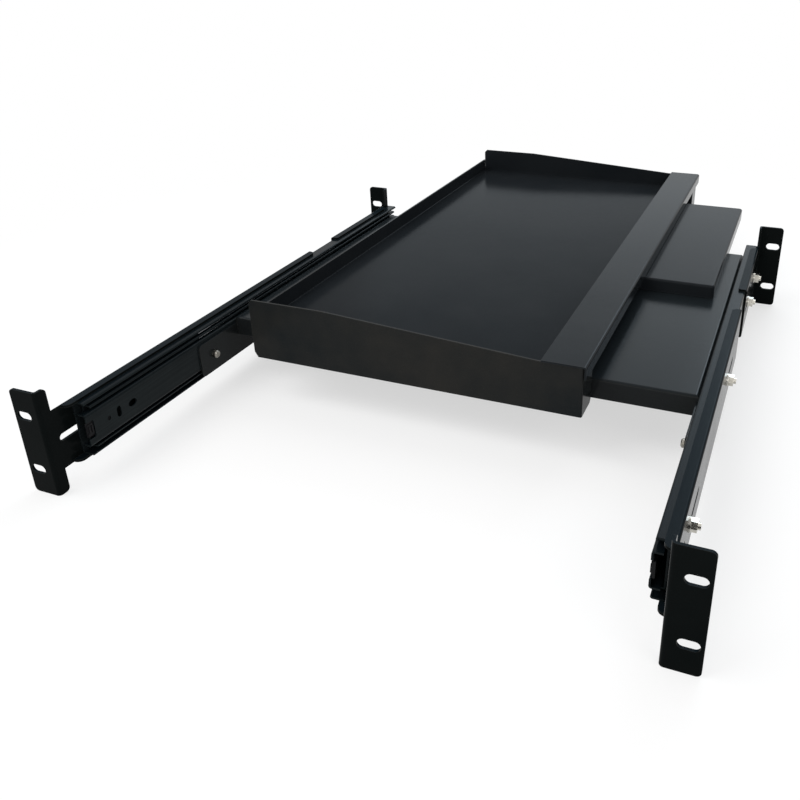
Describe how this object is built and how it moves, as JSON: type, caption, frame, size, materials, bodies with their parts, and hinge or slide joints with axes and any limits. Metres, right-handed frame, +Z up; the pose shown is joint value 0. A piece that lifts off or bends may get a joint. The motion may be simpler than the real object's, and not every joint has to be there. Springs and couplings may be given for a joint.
{
  "type": "sliding keyboard storage shelf",
  "caption": "Rack shelf on ball-bearing slides with a lipped keyboard tray, wrist rest, sliding mouse platform and adjustable slotted brackets.",
  "frame": {"origin": "centre of the four front ear slots, in the plane of the front ears' front faces", "axes": "+X to the right seen from the rack's front, +Y into the rack, +Z up"},
  "size_m": [0.4826, 0.741, 0.092],
  "materials": {
    "bracket_paint": "satin black powder coat",
    "shelf_paint": "fine satin black powder coat",
    "slide_steel": "black zinc plate with a blue tint",
    "cage_steel": "bright zinc plate",
    "ball_steel": "polished",
    "zinc_hardware": "bright zinc plate",
    "rubber": "matte",
    "black_nylon": "satin"
  },
  "bodies": {
    "rack_frame": {"front_bracket_left": "bracket_paint", "front_bracket_right": "bracket_paint", "rear_bracket_left": "bracket_paint", "rear_bracket_right": "bracket_paint", "outer_member_left": "slide_steel", "outer_member_right": "slide_steel", "bracket_bolts_left": "zinc_hardware", "bracket_bolts_right": "zinc_hardware", "bracket_washers_left": "zinc_hardware", "bracket_washers_right": "zinc_hardware", "bracket_nuts_left": "zinc_hardware", "bracket_nuts_right": "zinc_hardware", "slide_bumper_left": "rubber", "slide_bumper_right": "rubber"},
    "sliding_shelf": {"inner_member_left": "slide_steel", "inner_member_right": "slide_steel", "shelf_pan": "shelf_paint", "shelf_screws_left": "zinc_hardware", "shelf_screws_right": "zinc_hardware", "lever_pin_left": "slide_steel", "lever_pin_right": "slide_steel", "tray_pan": "shelf_paint", "front_cap": "shelf_paint", "rear_cap": "shelf_paint", "tray_spacers": "black_nylon", "tray_studs": "zinc_hardware", "tray_nuts": "zinc_hardware"},
    "middle_left": {"middle_member_left": "slide_steel"},
    "middle_right": {"middle_member_right": "slide_steel"},
    "outer_race_left": {"outer_cage_left": "cage_steel", "outer_balls_left": "ball_steel"},
    "outer_race_right": {"outer_cage_right": "cage_steel", "outer_balls_right": "ball_steel"},
    "inner_race_left": {"inner_cage_left": "cage_steel", "inner_balls_left": "ball_steel"},
    "inner_race_right": {"inner_cage_right": "cage_steel", "inner_balls_right": "ball_steel"},
    "mouse_slide": {"mouse_platform": "shelf_paint", "platform_guides": "black_nylon"},
    "lever_left": {"release_lever_left": "black_nylon"},
    "lever_right": {"release_lever_right": "black_nylon"}
  },
  "joints": [
    {"name": "shelf_slide", "type": "slide", "parent": "rack_frame", "child": "sliding_shelf", "axis": [0, -1, 0], "range_m": [0, 0.48]},
    {"name": "middle_slide_left", "type": "slide", "parent": "rack_frame", "child": "middle_left", "axis": [0, -1, 0], "range_m": [0, 0.24]},
    {"name": "outer_race_slide_left", "type": "slide", "parent": "rack_frame", "child": "outer_race_left", "axis": [0, -1, 0], "range_m": [0, 0.12]},
    {"name": "inner_race_slide_left", "type": "slide", "parent": "rack_frame", "child": "inner_race_left", "axis": [0, -1, 0], "range_m": [0, 0.36]},
    {"name": "middle_slide_right", "type": "slide", "parent": "rack_frame", "child": "middle_right", "axis": [0, -1, 0], "range_m": [0, 0.24]},
    {"name": "outer_race_slide_right", "type": "slide", "parent": "rack_frame", "child": "outer_race_right", "axis": [0, -1, 0], "range_m": [0, 0.12]},
    {"name": "inner_race_slide_right", "type": "slide", "parent": "rack_frame", "child": "inner_race_right", "axis": [0, -1, 0], "range_m": [0, 0.36]},
    {"name": "mouse_platform_slide", "type": "slide", "parent": "sliding_shelf", "child": "mouse_slide", "axis": [0, -1, 0], "range_m": [-0.063, 0.18]},
    {"name": "lever_hinge_left", "type": "hinge", "parent": "sliding_shelf", "child": "lever_left", "pos_m": [-0.20715, 0.047, 0], "axis": [1, 0, 0], "range_deg": [0, 5], "stiffness_Nm_per_rad": 0.05},
    {"name": "lever_hinge_right", "type": "hinge", "parent": "sliding_shelf", "child": "lever_right", "pos_m": [0.20715, 0.047, 0], "axis": [1, 0, 0], "range_deg": [0, 5], "stiffness_Nm_per_rad": 0.05}
  ],
  "couplings": [
    {"joint": "middle_slide_left", "follows": "shelf_slide", "ratio": 0.5},
    {"joint": "outer_race_slide_left", "follows": "shelf_slide", "ratio": 0.25},
    {"joint": "inner_race_slide_left", "follows": "shelf_slide", "ratio": 0.75},
    {"joint": "middle_slide_right", "follows": "shelf_slide", "ratio": 0.5},
    {"joint": "outer_race_slide_right", "follows": "shelf_slide", "ratio": 0.25},
    {"joint": "inner_race_slide_right", "follows": "shelf_slide", "ratio": 0.75}
  ]
}
